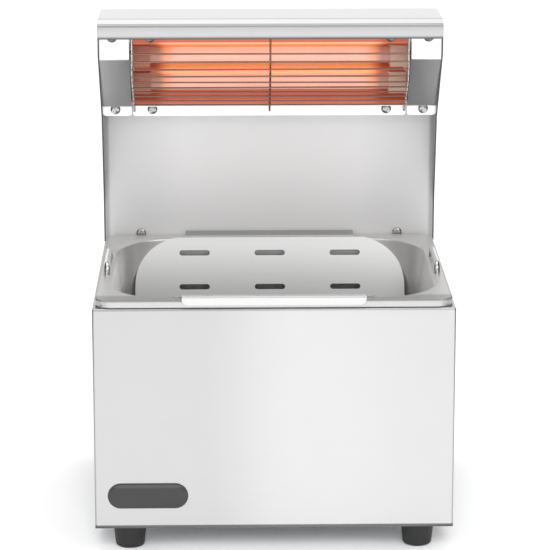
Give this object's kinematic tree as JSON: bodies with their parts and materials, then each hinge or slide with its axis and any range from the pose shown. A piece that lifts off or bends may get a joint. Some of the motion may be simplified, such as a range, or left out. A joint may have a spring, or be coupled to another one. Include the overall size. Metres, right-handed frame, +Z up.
{
  "type": "chip warmer",
  "caption": "Countertop chip warmer: steel case with a lift-out catering pan and slotted scoop liner under a hooded twin quartz lamp head with a wire guard.",
  "frame": {"origin": "on the floor under the middle of the whole warmer", "axes": "+X to the right seen from the front, +Y back towards the column, +Z up"},
  "size_m": [0.33, 0.3046, 0.4684],
  "materials": {
    "brushed_case": "fine satin brushed stainless steel",
    "pan_steel": "satin pressed stainless steel",
    "liner_steel": "satin stainless steel sheet",
    "bright_reflector": "bright heat-tinted steel",
    "polished_wire": "polished stainless wire",
    "galvanised": "plain folded steel, dull",
    "screw_steel": "stainless screw, semi-bright",
    "quartz": "milky opaque quartz",
    "resistance_wire": "glowing resistance wire, wound",
    "ceramic_white": "unglazed ceramic",
    "brass_terminal": "plain brass",
    "badge_dark": "blank dark glossy plate",
    "foot_rubber": "matt black rubber",
    "black_plastic": "black moulded plastic",
    "rocker_plastic": "black gloss plastic",
    "lead_sheath": "black flexible sheath",
    "glass_sleeve": "glass-fibre sleeve"
  },
  "bodies": {
    "warmer": {"case_front": "brushed_case", "case_side_left": "brushed_case", "case_side_right": "brushed_case", "case_deck": "brushed_case", "case_base_flange": "brushed_case", "case_back_flange": "brushed_case", "base_plate": "galvanised", "back_cover": "brushed_case", "side_plate_left": "brushed_case", "side_plate_right": "brushed_case", "column_panel": "brushed_case", "panel_foot_bracket": "galvanised", "hood": "brushed_case", "head_rail": "galvanised", "shoulder_left": "brushed_case", "shoulder_right": "brushed_case", "reflector": "bright_reflector", "reflector_end_left": "bright_reflector", "reflector_end_right": "bright_reflector", "lamp_tube_upper": "quartz", "lamp_tube_lower": "quartz", "heating_spiral_upper": "resistance_wire", "heating_spiral_lower": "resistance_wire", "lamp_caps_upper": "ceramic_white", "lamp_caps_lower": "ceramic_white", "lamp_terminals": "brass_terminal", "wire_guard": "polished_wire", "badge_plate": "badge_dark", "foot_front_left": "foot_rubber", "foot_front_right": "foot_rubber", "foot_rear_left": "foot_rubber", "foot_rear_right": "foot_rubber", "foot_screws": "screw_steel", "foot_nuts": "screw_steel", "base_screws": "screw_steel", "panel_foot_screws": "screw_steel", "head_screws_upper": "screw_steel", "head_screws_lower": "screw_steel", "back_cover_screws": "screw_steel", "switch_housing": "black_plastic", "switch_terminals": "brass_terminal", "mains_inlet": "black_plastic", "inlet_pins": "brass_terminal", "inlet_screws": "screw_steel", "terminal_block": "ceramic_white", "terminal_block_screws": "screw_steel", "deck_grommet": "foot_rubber", "supply_lead": "lead_sheath", "switched_lead": "lead_sheath", "lamp_wire_left": "glass_sleeve", "lamp_wire_right": "glass_sleeve", "earth_stud": "brass_terminal"},
    "pan": {"pan": "pan_steel", "handle_guides": "pan_steel"},
    "liner": {"chip_liner": "liner_steel"},
    "left_handle": {"pan_handle_left": "polished_wire"},
    "right_handle": {"pan_handle_right": "polished_wire"},
    "rocker": {"switch_rocker": "rocker_plastic"}
  },
  "joints": [
    {"name": "pan_lift", "type": "slide", "parent": "warmer", "child": "pan", "axis": [0, 0, 1], "range_m": [0, 0.055]},
    {"name": "liner_lift", "type": "slide", "parent": "pan", "child": "liner", "axis": [0, 0, 1], "range_m": [0, 0.05]},
    {"name": "left_handle_raise", "type": "slide", "parent": "pan", "child": "left_handle", "axis": [0, 0, 1], "range_m": [0, 0.03]},
    {"name": "right_handle_raise", "type": "slide", "parent": "pan", "child": "right_handle", "axis": [0, 0, 1], "range_m": [0, 0.03]},
    {"name": "power_switch", "type": "hinge", "parent": "warmer", "child": "rocker", "pos_m": [-0.1, 0.14419, 0.2965], "axis": [-1, 0, 0], "range_deg": [0, 20]}
  ]
}
